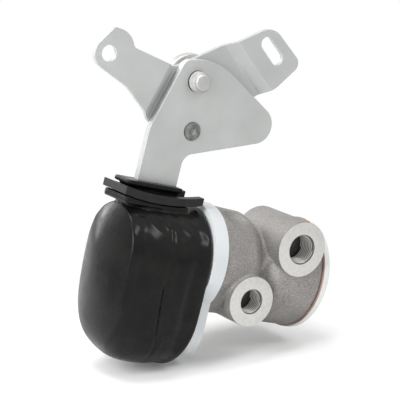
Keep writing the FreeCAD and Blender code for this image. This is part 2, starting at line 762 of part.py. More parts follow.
def adjuster_rivet():
    front = -SHEET / 2 - RIVET_PROUD
    head_y = SHEET / 2 + BRACKET_SHEET + 2 * SHEET_GAP
    end_y = head_y + RIVET_HEAD_LENGTH
    shank = along_y(RIVET_R, front, head_y, RIVET_X, RIVET_Z)
    head = along_y(RIVET_HEAD_R, head_y, end_y, RIVET_X, RIVET_Z)
    head = head.makeFillet(RIVET_HEAD_ROUND, [e for e in head.Edges if abs(e.BoundBox.YMin - end_y) < ON_PLANE])
    hollow = Part.makeCone(
        RIVET_DIMPLE_R0, RIVET_DIMPLE_R1, RIVET_DIMPLE_DEPTH, vec(RIVET_X, front, RIVET_Z), Y_AXIS
    )
    return shank.fuse(head).cut(hollow)


def clamp_washer():
    y0 = SHEET / 2 + BRACKET_SHEET + 2 * SHEET_GAP
    washer = along_y(WASHER_R, y0, y0 + WASHER_THICKNESS, BOLT_X, BOLT_Z)
    rims = [e for e in washer.Edges if e.BoundBox.YLength < ON_PLANE]
    washer = washer.makeChamfer(WASHER_CHAMFER, rims)
    return washer.cut(along_y(BOLT_R, y0 - OVER, y0 + WASHER_THICKNESS + OVER, BOLT_X, BOLT_Z))


def clamp_bolt():
    """The hexagon bolt, screwed into the lever from behind so that its end stands proud in front."""
    front = -SHEET / 2 - BOLT_PROUD
    head_y = SHEET / 2 + BRACKET_SHEET + 2 * SHEET_GAP + WASHER_THICKNESS
    shank = along_y(BOLT_R, front, head_y + OVER, BOLT_X, BOLT_Z)
    tip = [e for e in shank.Edges if abs(e.BoundBox.YMax - front) < ON_PLANE]
    shank = shank.makeChamfer(BOLT_CHAMFER, tip)
    corner_r = BOLT_HEAD_AF / math.sqrt(3)
    corners = []
    for i in range(6):
        angle = math.radians(60 * i)
        corners.append(vec(BOLT_X + corner_r * math.cos(angle), 0, BOLT_Z + corner_r * math.sin(angle)))
    head = prism(corners, head_y, head_y + BOLT_HEAD_LENGTH)
    return shank.fuse(head).removeSplitter()


def lever_pin():
    return along_y(PIN_R, -PIN_HALF_LENGTH, PIN_HALF_LENGTH, PIVOT_X, PIVOT_Z)


def pin_clips():
    """Two spring clips that hold the pin, outside the ears."""
    outside = CAGE_EAR_Y + CAGE_SHEET + CLIP_RING_PLAY
    clips = []
    for y0 in (outside, -outside - CLIP_RING_THICKNESS):
        y1 = y0 + CLIP_RING_THICKNESS
        clip = along_y(CLIP_RING_R, y0, y1, PIVOT_X, PIVOT_Z)
        clip = clip.cut(along_y(PIN_R, y0 - OVER, y1 + OVER, PIVOT_X, PIVOT_Z))
        gap = block(
            PIVOT_X,
            PIVOT_X + CLIP_RING_R + OVER,
            y0 - OVER,
            y1 + OVER,
            PIVOT_Z - CLIP_RING_OPENING,
            PIVOT_Z + CLIP_RING_OPENING,
        )
        clips.append(clip.cut(gap))
    return Part.makeCompound(clips)


def pin_spacers():
    """Two tubes on the pin that keep the lever in the middle between the ears."""
    near = SHEET / 2 + RUNNING_GAP
    far = CAGE_EAR_Y - RUNNING_GAP
    tubes = []
    for y0, y1 in ((near, far), (-far, -near)):
        tube = along_y(SPACER_R, y0, y1, PIVOT_X, PIVOT_Z)
        tubes.append(tube.cut(along_y(PIN_R + FIT_GAP, y0 - OVER, y1 + OVER, PIVOT_X, PIVOT_Z)))
    return Part.makeCompound(tubes)


def pivot_bracket():
    """The folded cage on the casting's face that carries the lever's pin."""
    base_corners = [
        (-CAGE_BASE_HALF_WIDTH, -CAGE_BASE_HALF_HEIGHT, CAGE_BASE_CORNER_R),
        (CAGE_BASE_HALF_WIDTH, -CAGE_BASE_HALF_HEIGHT, CAGE_BASE_CORNER_R),
        (CAGE_BASE_HALF_WIDTH, CAGE_BASE_HALF_HEIGHT, CAGE_BASE_CORNER_R),
        (-CAGE_BASE_HALF_WIDTH, CAGE_BASE_HALF_HEIGHT, CAGE_BASE_CORNER_R),
    ]
    base = plate_x(base_corners, -CAGE_SHEET, 0)
    ears = [
        plate(EAR_OUTLINE, CAGE_EAR_Y, CAGE_EAR_Y + CAGE_SHEET),
        plate(EAR_OUTLINE, -CAGE_EAR_Y - CAGE_SHEET, -CAGE_EAR_Y),
    ]
    cage = base.fuse(ears).removeSplitter()
    cutters = [
        along_x(CAGE_HOLE_R, -CAGE_SHEET - OVER, OVER),
        along_y(PIN_R, -PIN_HALF_LENGTH, PIN_HALF_LENGTH, PIVOT_X, PIVOT_Z),
        along_x(SCREW_R, -CAGE_SHEET - OVER, OVER, SCREW_Y, 0),
        along_x(SCREW_R, -CAGE_SHEET - OVER, OVER, -SCREW_Y, 0),
    ]
    return cage.cut(cutters)


def bracket_screws():
    screws = []
    top_x = -CAGE_SHEET - SCREW_HEAD_LENGTH
    for side in (-1, 1):
        y = side * SCREW_Y
        shank = along_x(SCREW_R, -CAGE_SHEET - OVER, SCREW_LENGTH, y)
        head = along_x(SCREW_HEAD_R, top_x, -CAGE_SHEET, y)
        head = head.makeFillet(SCREW_HEAD_ROUND, [e for e in head.Edges if abs(e.BoundBox.XMax - top_x) < ON_PLANE])
        recess = along_x(SCREW_RECESS_R, top_x - OVER, top_x + SCREW_RECESS_DEPTH, y)
        screws.append(shank.fuse(head).cut(recess))
    return Part.makeCompound(screws)


def plunger():
    """The stem that the lever pushes, with its piston and valve head in one turned piece."""
    tip_x = LEVER_RIGHT_X + LEVER_GAP
    piston_x = PISTON_BORE_X + PISTON_PLAY
    groove_x = piston_x + PISTON_GROOVE_OFFSET
    head_end = VALVE_HEAD_X + VALVE_HEAD_LENGTH
    tail_end = head_end + SEAT_LENGTH + TAIL_PROUD
    return turned([
        (tip_x, 0),
        (tip_x, STEM_R - STEM_TIP_CHAMFER),
        (tip_x + STEM_TIP_CHAMFER, STEM_R),
        (piston_x, STEM_R),
        (piston_x, PISTON_BORE_R - RUNNING_GAP),
        (groove_x, PISTON_BORE_R - RUNNING_GAP),
        (groove_x, PISTON_BORE_R - SEAL_DEPTH),
        (groove_x + SEAL_WIDTH, PISTON_BORE_R - SEAL_DEPTH),
        (groove_x + SEAL_WIDTH, PISTON_BORE_R - RUNNING_GAP),
        (piston_x + PISTON_LENGTH, PISTON_BORE_R - RUNNING_GAP),
        (piston_x + PISTON_LENGTH, TAIL_R),
        (VALVE_HEAD_X, TAIL_R),
        (VALVE_HEAD_X, VALVE_HEAD_R),
        (head_end, VALVE_HEAD_R),
        (head_end, TAIL_R),
        (tail_end, TAIL_R),
        (tail_end, 0),
    ])


def bush_groove_x():
    return BUSH_X + GROOVE_WALL


def stem_groove_x():
    return bush_groove_x() + SEAL_WIDTH + GROOVE_WALL


def guide_bush():
    outer_x = bush_groove_x()
    inner_x = stem_groove_x()
    bush = ring_x(MOUTH_R - FIT_GAP, STEM_R + RUNNING_GAP, BUSH_X, MOUTH_LENGTH)
    outer_groove = ring_x(MOUTH_R + OVER, MOUTH_R - SEAL_DEPTH, outer_x, outer_x + SEAL_WIDTH)
    inner_groove = along_x(STEM_R + SEAL_DEPTH, inner_x, inner_x + SEAL_WIDTH)
    return bush.cut([outer_groove, inner_groove])


def bush_ring():
    """The open spring ring in its groove, which keeps the bush in."""
    x0 = RING_GROOVE_X + RING_PLAY
    x1 = x0 + RING_THICKNESS
    outer = RING_GROOVE_R - RUNNING_GAP
    ring = ring_x(outer, outer - RING_WIDTH, x0, x1)
    gap = block(x0 - OVER, x1 + OVER, -RING_GAP / 2, RING_GAP / 2, 0, outer + OVER)
    return ring.cut(gap)


def spring_seat():
    x0 = VALVE_HEAD_X + VALVE_HEAD_LENGTH
    return ring_x(SEAT_R, TAIL_R + FIT_GAP, x0, x0 + SEAT_LENGTH)


def valve_spring():
    """The coil spring between its seat and the end plug."""
    x0 = VALVE_HEAD_X + VALVE_HEAD_LENGTH + SEAT_LENGTH + SPRING_WIRE_R + SPRING_ROOM
    x1 = BODY_LENGTH - PLUG_LENGTH - SPRING_WIRE_R - SPRING_ROOM
    half_turns = round(2 * SPRING_TURNS)
    rise = (x1 - x0) / half_turns
    path = []
    for i in range(half_turns):
        half_turn = Part.makeHelix(2 * rise, rise, SPRING_MEAN_R).Edges[0].copy()
        half_turn.rotate(vec(0, 0, 0), Z_AXIS, 180 * i)
        half_turn.translate(vec(0, 0, i * rise))
        path.append(half_turn)
    section = Part.Wire(Part.makeCircle(SPRING_WIRE_R, vec(SPRING_MEAN_R, 0, 0), Y_AXIS))
    coil = Part.Wire(path).makePipeShell([section], True, True)
    coil.rotate(vec(0, 0, 0), Y_AXIS, 90)
    coil.translate(vec(x0, 0, 0))
    return coil


def build():
    os.makedirs("parts", exist_ok=True)
    save("valve_body", valve_body())
    save("end_cap", end_cap())
    save("end_plug", end_plug())
    plug_groove_x = BODY_LENGTH - PLUG_LENGTH + GROOVE_WALL
    save("plug_seal", seal_ring(CHAMBER_R - FIT_GAP, CHAMBER_R - SEAL_DEPTH + FIT_GAP, plug_groove_x))
    save("boot_retainer", boot_retainer())
    save("boot", boot())
    save("neck_clip", neck_clip())
    save("lever", lever())
    save("adjuster_bracket", adjuster_bracket())
    save("adjuster_rivet", adjuster_rivet())
    save("clamp_bolt", clamp_bolt())
    save("clamp_washer", clamp_washer())
    save("lever_pin", lever_pin())
    save("pin_clips", pin_clips())
    save("pin_spacers", pin_spacers())
    save("pivot_bracket", pivot_bracket())
    save("bracket_screws", bracket_screws())
    save("plunger", plunger())
    save("guide_bush", guide_bush())
    save("bush_ring", bush_ring())
    save("bush_seal", seal_ring(MOUTH_R - FIT_GAP, MOUTH_R - SEAL_DEPTH + FIT_GAP, bush_groove_x()))
    save("stem_seal", seal_ring(STEM_R + SEAL_DEPTH - FIT_GAP, STEM_R + RUNNING_GAP, stem_groove_x()))
    piston_groove_x = PISTON_BORE_X + PISTON_PLAY + PISTON_GROOVE_OFFSET
    piston_seal_inner = PISTON_BORE_R - SEAL_DEPTH + FIT_GAP
    save("piston_seal", seal_ring(PISTON_BORE_R - RUNNING_GAP, piston_seal_inner, piston_groove_x))
    save("spring_seat", spring_seat())
    save("valve_spring", valve_spring())


build()
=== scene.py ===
import json
import math
from collections import namedtuple

import bmesh
import bpy
from mathutils import Matrix, Vector

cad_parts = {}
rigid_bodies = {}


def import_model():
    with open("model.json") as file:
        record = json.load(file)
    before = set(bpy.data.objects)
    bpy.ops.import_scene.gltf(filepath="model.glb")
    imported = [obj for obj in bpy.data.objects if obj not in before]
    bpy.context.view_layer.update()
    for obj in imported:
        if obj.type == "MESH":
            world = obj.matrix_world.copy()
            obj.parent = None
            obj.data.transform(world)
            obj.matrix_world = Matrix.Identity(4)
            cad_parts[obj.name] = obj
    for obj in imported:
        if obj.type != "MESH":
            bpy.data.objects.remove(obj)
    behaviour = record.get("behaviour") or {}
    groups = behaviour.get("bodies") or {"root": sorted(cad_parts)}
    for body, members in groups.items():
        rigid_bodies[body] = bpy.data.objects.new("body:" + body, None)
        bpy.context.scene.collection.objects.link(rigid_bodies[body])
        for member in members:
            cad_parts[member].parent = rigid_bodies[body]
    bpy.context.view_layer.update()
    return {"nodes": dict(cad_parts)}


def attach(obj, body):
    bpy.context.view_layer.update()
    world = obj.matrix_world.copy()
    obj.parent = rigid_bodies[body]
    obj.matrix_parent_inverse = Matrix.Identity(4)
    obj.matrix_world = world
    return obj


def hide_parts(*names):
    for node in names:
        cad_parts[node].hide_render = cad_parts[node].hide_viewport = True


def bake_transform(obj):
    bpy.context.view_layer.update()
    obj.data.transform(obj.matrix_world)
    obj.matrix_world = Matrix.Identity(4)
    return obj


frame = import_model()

# Sizes are in millimetres about the valve's bore: x along the bore from the casting's front face, y into the
# picture, z up the lever. The function place() turns them into the model's own frame, in metres.

MM = 0.001
PAD = Vector((23.0, 25.0, 0.0))

# Sizes that more than one piece uses
BODY_LENGTH = 46.4
PORT_FACE_Y = -22.4
PAD_FACE_Y = 25.0
Port = namedtuple("Port", "x z hole_r face_r depth boss_back threads")
UPPER_PORT = Port(x=32.5, z=12.7, hole_r=6.0, face_r=11.0, depth=11.0, boss_back=8.5, threads=8)
LOWER_PORT = Port(x=14.8, z=-10.4, hole_r=5.0, face_r=10.0, depth=9.5, boss_back=6.0, threads=7)
THREAD_HEIGHT = 0.55
BOLT_X, BOLT_Z = -19.4, 67.0
BOLT_CORE_R, BOLT_THREAD_R = 3.4, 4.0


def place(x, y, z):
    return (Vector((x, y, z)) - PAD) * MM


# Modelling helpers


def only(piece):
    """Selects one piece and nothing else."""
    bpy.ops.object.select_all(action="DESELECT")
    piece.select_set(True)
    bpy.context.view_layer.objects.active = piece


def edit(piece):
    only(piece)
    bpy.ops.object.mode_set(mode="EDIT")


def leave_edit():
    bpy.ops.object.mode_set(mode="OBJECT")


def settle(piece):
    """Puts a piece's place and turn into its mesh."""
    only(piece)
    bpy.ops.object.transform_apply(location=True, rotation=True, scale=True)


def pick(piece, wanted):
    """Selects the points for which wanted(point in bore millimetres) is true."""
    bpy.ops.mesh.select_mode(type="VERT")
    bpy.ops.mesh.select_all(action="DESELECT")
    mesh = bmesh.from_edit_mesh(piece.data)
    for point in mesh.verts:
        if wanted(point.co / MM + PAD):
            point.select = True
    mesh.select_flush(True)
    bmesh.update_edit_mesh(piece.data)


def apply_modifier(piece, kind, **values):
    only(piece)
    modifier = piece.modifiers.new(kind, kind)
    for key, value in values.items():
        setattr(modifier, key, value)
    bpy.ops.object.modifier_apply(modifier=modifier.name)


def smooth_by_angle(piece, degrees=35):
    only(piece)
    bpy.ops.object.shade_smooth_by_angle(angle=math.radians(degrees))


def bar_y(name, radius, y0, y1, x, z, sides=64):
    """A round bar along y."""
    bpy.ops.object.select_all(action="DESELECT")
    bpy.ops.mesh.primitive_cylinder_add(
        vertices=sides,
        radius=radius * MM,
        depth=(y1 - y0) * MM,
        location=place(x, (y0 + y1) / 2, z),
        rotation=(math.pi / 2, 0, 0),
    )
    bar = bpy.context.object
    bar.name = name
    settle(bar)
    return bar


def bar_x(name, radius, x0, x1, y, z, sides=64):
    """A round bar along x."""
    bpy.ops.object.select_all(action="DESELECT")
    bpy.ops.mesh.primitive_cylinder_add(
        vertices=sides,
        radius=radius * MM,
        depth=(x1 - x0) * MM,
        location=place((x0 + x1) / 2, y, z),
        rotation=(0, math.pi / 2, 0),
    )
    bar = bpy.context.object
    bar.name = name
    settle(bar)
    return bar


def slab(name, x0, x1, y0, y1, z0, z1, round_edge=0.0, steps=3):
    """A block with its edges rounded."""
    bpy.ops.object.select_all(action="DESELECT")
    bpy.ops.mesh.primitive_cube_add(size=1, location=place((x0 + x1) / 2, (y0 + y1) / 2, (z0 + z1) / 2))
    block = bpy.context.object
    block.name = name
    block.scale = (Vector((x1, y1, z1)) - Vector((x0, y0, z0))) * MM
    settle(block)
    if round_edge > 0:
        edit(block)
        bpy.ops.mesh.select_all(action="SELECT")
        bpy.ops.mesh.bevel(offset=round_edge * MM, segments=steps, affect="EDGES")
        leave_edit()
    return block


def drawn_line(name, points):
    """A line through points, drawn from one point by extruding it."""
    bpy.ops.object.select_all(action="DESELECT")
    bpy.ops.mesh.primitive_plane_add(size=MM, location=place(*points[0]))
    line = bpy.context.object
    line.name = name
    settle(line)
    edit(line)
    bpy.ops.mesh.select_mode(type="VERT")
    bpy.ops.mesh.select_all(action="SELECT")
    bpy.ops.mesh.merge(type="CENTER")
    for here, after in zip(points, points[1:]):
        step = (Vector(after) - Vector(here)) * MM
        bpy.ops.mesh.extrude_region_move(TRANSFORM_OT_translate={"value": step})
    return line


def turned(name, section, sides=96):
    """A form turned about the bore from its half section as (x, radius) points."""
    form = drawn_line(name, [(x, 0, radius) for x, radius in section])
    bpy.ops.mesh.select_all(action="SELECT")
    bpy.ops.mesh.spin(steps=sides, angle=2 * math.pi, center=place(0, 0, 0), axis=(1, 0, 0))
    bpy.ops.mesh.select_all(action="SELECT")
    bpy.ops.mesh.remove_doubles(threshold=0.01 * MM)
    bpy.ops.mesh.normals_make_consistent(inside=False)
    leave_edit()
    return form


def joined(pieces):
    """One piece from several."""
    only(pieces[0])
    for piece in pieces:
        piece.select_set(True)
    bpy.ops.object.join()
    return pieces[0]


def cut_away(piece, cutter):
    apply_modifier(piece, "BOOLEAN", object=cutter, operation="DIFFERENCE", solver="EXACT")
    bpy.data.objects.remove(cutter)


def finish_piece(piece, name, body, slot, material, *nodes):
    """Names a finished piece, gives it its material and puts it in place of the nodes that it stands for."""
    piece.name = name
    piece.data.materials.clear()
    piece.data.materials.append(material)
    if nodes:
        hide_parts(*nodes)
    if body:
        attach(piece, body)
    return piece


def eased_copy(node, ease, steps=2, weld=0.002):
    """A copy of a solid with its sharp edges eased."""
    source = frame["nodes"][node]
    copy = bpy.data.objects.new(node + "_eased", source.data.copy())
    bpy.context.scene.collection.objects.link(copy)
    edit(copy)
    bpy.ops.mesh.select_all(action="SELECT")
    bpy.ops.mesh.remove_doubles(threshold=weld * MM)
    bpy.ops.mesh.dissolve_limited(angle_limit=math.radians(0.3))
    leave_edit()
    smooth_by_angle(copy)
    apply_modifier(
        copy,
        "BEVEL",
        width=ease * MM,
        segments=steps,
        limit_method="ANGLE",
        angle_limit=math.radians(40),
        use_clamp_overlap=True,
        harden_normals=True,
    )
    return copy


# Finishes


def node_tree(name):
    finish = bpy.data.materials.new(name)
    finish.use_nodes = True
    return finish, finish.node_tree.nodes, finish.node_tree.links


def noise(nodes, links, scale, detail=3.0):
    """A noise texture on the piece's own coordinates, with the scale in features per metre."""
    coordinates = nodes.new("ShaderNodeTexCoord")
    texture = nodes.new("ShaderNodeTexNoise")
    texture.inputs["Scale"].default_value = scale
    texture.inputs["Detail"].default_value = detail
    links.new(coordinates.outputs["Object"], texture.inputs["Vector"])
    return texture.outputs["Fac"]


def two_tone(nodes, links, factor, dark, light, low=0.3, high=0.7):
    ramp = nodes.new("ShaderNodeValToRGB")
    ramp.color_ramp.elements[0].position = low
    ramp.color_ramp.elements[0].color = (*dark, 1)
    ramp.color_ramp.elements[1].position = high
    ramp.color_ramp.elements[1].color = (*light, 1)
    links.new(factor, ramp.inputs["Fac"])
    return ramp.outputs["Color"]


def between(nodes, links, factor, low, high):
    scale = nodes.new("ShaderNodeMapRange")
    scale.inputs["From Min"].default_value = 0.3
    scale.inputs["From Max"].default_value = 0.7
    scale.inputs["To Min"].default_value = low
    scale.inputs["To Max"].default_value = high
    links.new(factor, scale.inputs["Value"])
    return scale.outputs["Result"]


def bumped(nodes, links, height, depth, under=None):
    bump = nodes.new("ShaderNodeBump")
    bump.inputs["Distance"].default_value = depth * MM
    links.new(height, bump.inputs["Height"])
    if under is not None:
        links.new(under, bump.inputs["Normal"])
    return bump.outputs["Normal"]


def grey(level):
    return (level, level, level)


def plain_finish(name, dark, light, rough, metal, grain, depth, patch=150.0, specular=0.5):
    """A finish with patches of two tones, uneven gloss and a fine grain."""
    finish, nodes, links = node_tree(name)
    shader = nodes["Principled BSDF"]
    shader.inputs["Metallic"].default_value = metal
    shader.inputs["Specular IOR Level"].default_value = specular
    patches = noise(nodes, links, patch, 4.0)
    links.new(two_tone(nodes, links, patches, dark, light), shader.inputs["Base Color"])
    fine = noise(nodes, links, grain, 2.0)
    links.new(between(nodes, links, fine, rough[0], rough[1]), shader.inputs["Roughness"])
    links.new(bumped(nodes, links, fine, depth), shader.inputs["Normal"])
    return finish


def casting_finish():
    """Sand-cast aluminium with a coarse skin, and bright machined faces on the ports and the pad."""
    finish, nodes, links = node_tree("cast_aluminium_skin")
    shader = nodes["Principled BSDF"]
    shader.inputs["Metallic"].default_value = 0.55
    patches = noise(nodes, links, 90.0, 5.0)
    speckle = noise(nodes, links, 2600.0, 3.0)
    skin = two_tone(nodes, links, patches, (0.265, 0.252, 0.242), (0.33, 0.318, 0.305))
    grains = two_tone(nodes, links, speckle, grey(0.62), grey(1.25), 0.34, 0.68)
    mix = nodes.new("ShaderNodeMix")
    mix.data_type = "RGBA"
    mix.blend_type = "MULTIPLY"
    mix.inputs["Factor"].default_value = 1.0
    links.new(skin, mix.inputs["A"])
    links.new(grains, mix.inputs["B"])
    coordinates = nodes.new("ShaderNodeTexCoord")
    axes = nodes.new("ShaderNodeSeparateXYZ")
    links.new(coordinates.outputs["Object"], axes.inputs["Vector"])
    masks = []
    margin = 0.05
    port_edge = place(0, PORT_FACE_Y + margin, 0).y
    pad_edge = place(0, PAD_FACE_Y - margin, 0).y
    for operation, edge in (("LESS_THAN", port_edge), ("GREATER_THAN", pad_edge)):
        test = nodes.new("ShaderNodeMath")
        test.operation = operation
        test.inputs[1].default_value = edge
        links.new(axes.outputs["Y"], test.inputs[0])
        masks.append(test.outputs["Value"])
    machined = nodes.new("ShaderNodeMath")
    machined.operation = "MAXIMUM"
    links.new(masks[0], machined.inputs[0])
    links.new(masks[1], machined.inputs[1])
    turning = noise(nodes, links, 700.0, 2.0)
    bright = two_tone(nodes, links, turning, (0.53, 0.525, 0.505), (0.60, 0.595, 0.575))
    colour = nodes.new("ShaderNodeMix")
    colour.data_type = "RGBA"
    links.new(machined.outputs["Value"], colour.inputs["Factor"])
    links.new(mix.outputs["Result"], colour.inputs["A"])
    links.new(bright, colour.inputs["B"])
    links.new(colour.outputs["Result"], shader.inputs["Base Color"])
    rough = nodes.new("ShaderNodeMapRange")
    rough.inputs["To Min"].default_value = 0.58
    rough.inputs["To Max"].default_value = 0.40
    links.new(machined.outputs["Value"], rough.inputs["Value"])
    links.new(rough.outputs["Result"], shader.inputs["Roughness"])
    height = nodes.new("ShaderNodeMath")
    height.operation = "MULTIPLY"
    inverse = nodes.new("ShaderNodeMath")
    inverse.operation = "SUBTRACT"
    inverse.inputs[0].default_value = 1.0
    links.new(machined.outputs["Value"], inverse.inputs[1])
    links.new(speckle, height.inputs[0])
    links.new(inverse.outputs["Value"], height.inputs[1])
    links.new(bumped(nodes, links, height.outputs["Value"], 0.22), shader.inputs["Normal"])
    return finish


cast_skin = casting_finish()
sheet_steel = plain_finish(
    "plated_sheet", (0.44, 0.452, 0.444), (0.51, 0.522, 0.514), (0.42, 0.54), 0.45, 2200.0, 0.02, patch=60.0
)
bolt_steel = plain_finish(
    "plated_bolt", (0.40, 0.40, 0.39), (0.50, 0.50, 0.485), (0.34, 0.48), 0.6, 1600.0, 0.03
)
rivet_steel = plain_finish(
    "rivet_end", grey(0.13), (0.30, 0.30, 0.29), (0.35, 0.55), 0.85, 900.0, 0.06, patch=500.0
)
spring_wire = plain_finish(
    "spring_wire", (0.20, 0.20, 0.21), (0.30, 0.30, 0.31), (0.30, 0.45), 0.9, 1500.0, 0.02
)
bush_brass = plain_finish(
    "bush_brass", (0.52, 0.36, 0.12), (0.64, 0.46, 0.18), (0.30, 0.45), 0.95, 1200.0, 0.02
)
boot_rubber = plain_finish(
    "boot_rubber", (0.0040, 0.0040, 0.0038), (0.009, 0.009, 0.0085), (0.17, 0.33), 0.0, 160.0, 0.03,
    patch=120.0, specular=0.15,
)
clip_rubber = plain_finish(
    "clip_rubber", grey(0.008), (0.016, 0.016, 0.0155), (0.40, 0.55), 0.0, 900.0, 0.05, specular=0.25
)
seal_rubber = plain_finish("seal_rubber", grey(0.010), grey(0.018), (0.45, 0.60), 0.0, 900.0, 0.03)
white_plastic = plain_finish(
    "retainer_plastic", (0.60, 0.63, 0.645), (0.66, 0.685, 0.695), (0.36, 0.48), 0.0, 700.0, 0.02, patch=80.0
)
cap_plastic = plain_finish(
    "cap_plastic", (0.66, 0.69, 0.66), (0.74, 0.765, 0.735), (0.40, 0.50), 0.0, 600.0, 0.02
)


def thread_finish(name, port):
    """A thread's metal, its colour darkened from the crest down into the root as painted shade."""
    finish, nodes, links = node_tree(name)
    shader = nodes["Principled BSDF"]
    shader.inputs["Metallic"].default_value = 0.6
    shader.inputs["Roughness"].default_value = 0.42
    coordinates = nodes.new("ShaderNodeTexCoord")
    flat = nodes.new("ShaderNodeVectorMath")
    flat.operation = "MULTIPLY"
    flat.inputs[1].default_value = (1, 0, 1)
    links.new(coordinates.outputs["Object"], flat.inputs[0])
    centre = place(port.x, 0, port.z)
    distance = nodes.new("ShaderNodeVectorMath")
    distance.operation = "DISTANCE"
    distance.inputs[1].default_value = (centre.x, 0, centre.z)
    links.new(flat.outputs["Vector"], distance.inputs[0])
    depth = nodes.new("ShaderNodeMapRange")
    depth.inputs["From Min"].default_value = (port.hole_r - THREAD_HEIGHT) * MM
    depth.inputs["From Max"].default_value = port.hole_r * MM
    links.new(distance.outputs["Value"], depth.inputs["Value"])
    # Painted shade: the metal's own tone at the crest, turning near black towards the root by distance from
    # the port's axis
    bright, painted_root_shade = (0.50, 0.49, 0.47), (0.05, 0.05, 0.048)
    tone = two_tone(nodes, links, depth.outputs["Result"], bright, painted_root_shade, 0.10, 0.62)
    links.new(tone, shader.inputs["Base Color"])
    fine = noise(nodes, links, 1500.0, 2.0)
    links.new(bumped(nodes, links, fine, 0.02), shader.inputs["Normal"])
    return finish


upper_thread_finish = thread_finish("upper_thread_metal", UPPER_PORT)
lower_thread_finish = thread_finish("lower_thread_metal", LOWER_PORT)


def seamed(finish, edge, tone):
    """Gives the cap's finish a thin line of sealant where it meets the casting, up to an edge along x."""
    nodes = finish.node_tree.nodes
    links = finish.node_tree.links
    shader = nodes["Principled BSDF"]
    plain = shader.inputs["Base Color"].links[0].from_socket
    coordinates = nodes.new("ShaderNodeTexCoord")
    axes = nodes.new("ShaderNodeSeparateXYZ")
    links.new(coordinates.outputs["Object"], axes.inputs["Vector"])
    line = nodes.new("ShaderNodeMath")
    line.operation = "LESS_THAN"
    line.inputs[1].default_value = place(edge, 0, 0).x
    links.new(axes.outputs["X"], line.inputs[0])
    colour = nodes.new("ShaderNodeMix")
    colour.data_type = "RGBA"
    colour.inputs["B"].default_value = (*tone, 1)
    links.new(line.outputs["Value"], colour.inputs["Factor"])
    links.new(plain, colour.inputs["A"])
    links.new(colour.outputs["Result"], shader.inputs["Base Color"])


SEALANT_WIDTH = 0.22
seamed(cap_plastic, BODY_LENGTH + SEALANT_WIDTH, (0.40, 0.27, 0.23))


# Casting


# The casting's turned body as x, radius: nose, valley and barrel
NOSE_SECTION = [(0, 0), (0, 20.8), (0.4, 21.2), (14.5, 20.5), (17.0, 19.4), (18.4, 17.8), (19.6, 16.7)]
VALLEY_SECTION = [(21.0, 16.5), (22.4, 16.8), (23.8, 18.2), (25.4, 20.6)]
BARREL_SECTION = [(27.4, 21.7), (29, 21.8), (46.0, 21.8), (BODY_LENGTH, 21.4), (BODY_LENGTH, 0)]
# The bore with the seal's groove, the plunger's part and the spring chamber
BORE_SECTION = [
    (-1, 0), (-1, 9.0), (0.6, 9.0), (0.6, 9.8), (1.9, 9.8), (1.9, 9.0), (10, 9.0), (10, 10.2),
    (18.5, 10.2), (18.5, 6.5), (26, 6.5), (26, 12.5), (BODY_LENGTH + 1, 12.5), (BODY_LENGTH + 1, 0),
]
PAD_HOLE_R = 4.0
PAD_HOLES_X = (12, 34)
SCREW_HOLE_R = 2.0
SCREW_HOLES_Y = (13, -13)
FACE_PROUD = 0.3
FACE_EASE = 0.18
UNDERCUT_DEPTH = 0.5
UNDERCUT_WIDTH = 1.4
PASSAGE_R = 2.0
DIMPLE_CENTRE = (8.2, -11.5, 25.8)
DIMPLE_R = 9.25


def port_rib():
    """The rib between the two bosses, with a ridge along each edge."""
    rib = joined([
        slab("rib", -15, 15, -15.6, 0, -4.4, 4.4, 2.2),
        slab("rib_ridge", -15, 15, -17.2, -10, 1.5, 4.2, 1.2),
        slab("rib_ridge", -15, 15, -17.2, -10, -4.2, -1.5, 1.2),
    ])
    slope = math.atan2(UPPER_PORT.z - LOWER_PORT.z, UPPER_PORT.x - LOWER_PORT.x)
    middle = place((UPPER_PORT.x + LOWER_PORT.x) / 2, 0, (UPPER_PORT.z + LOWER_PORT.z) / 2)
    rib.data.transform(Matrix.Translation(-place(0, 0, 0)))
    rib.data.transform(Matrix.Rotation(-slope, 4, "Y"))
    rib.data.transform(Matrix.Translation(middle))
    return rib


def rough_casting():
    """The cast form: turned body, two bosses, the rib between them and the pad, grown together."""
    body = turned("casting", NOSE_SECTION + VALLEY_SECTION + BARREL_SECTION)
    front = PORT_FACE_Y - 3.6
    bosses = [
        bar_y("boss", port.face_r, front, port.boss_back, port.x, port.z, 96)
        for port in (UPPER_PORT, LOWER_PORT)
    ]
    pad = slab("pad", 5, 41, 0, PAD_FACE_Y + 1.5, -8, 8, 2.0)
    grown = joined([body, *bosses, port_rib(), pad])
    voxel = 0.5
    apply_modifier(grown, "REMESH", mode="VOXEL", voxel_size=voxel * MM)
    apply_modifier(grown, "SMOOTH", factor=0.5, iterations=12)
    return grown


def trim(grown):
    """Cuts the cast form to its ends, its pad's face and just behind the ports' faces."""
    far = 60
    for limits in (
        (-20, 70, -far, PORT_FACE_Y + FACE_PROUD, -far, far),
        (-20, 70, PAD_FACE_Y, far, -far, far),
        (-20, 0, -far, far, -far, far),
        (BODY_LENGTH, 70, -far, far, -far, far),
    ):
        cut_away(grown, slab("trim", *limits))


def add_port_face(grown, port):
    """Adds a port's machined face, a thin disc with a crisp edge."""
    face = bar_y("port_face", port.face_r - 0.05, PORT_FACE_Y, PORT_FACE_Y + 1.8, port.x, port.z, 128)
    edit(face)
    pick(face, lambda p: p.y < PORT_FACE_Y + 0.1)
    bpy.ops.mesh.bevel(offset=FACE_EASE * MM, segments=2, affect="EDGES")
    leave_edit()
    apply_modifier(grown, "BOOLEAN", object=face, operation="UNION", solver="EXACT")
    bpy.data.objects.remove(face)


def cut_dimple(grown):
    bpy.ops.object.select_all(action="DESELECT")
    bpy.ops.mesh.primitive_uv_sphere_add(
        segments=96, ring_count=64, radius=DIMPLE_R * MM, location=place(*DIMPLE_CENTRE)
    )
    dimple = bpy.context.object
    settle(dimple)
    cut_away(grown, dimple)


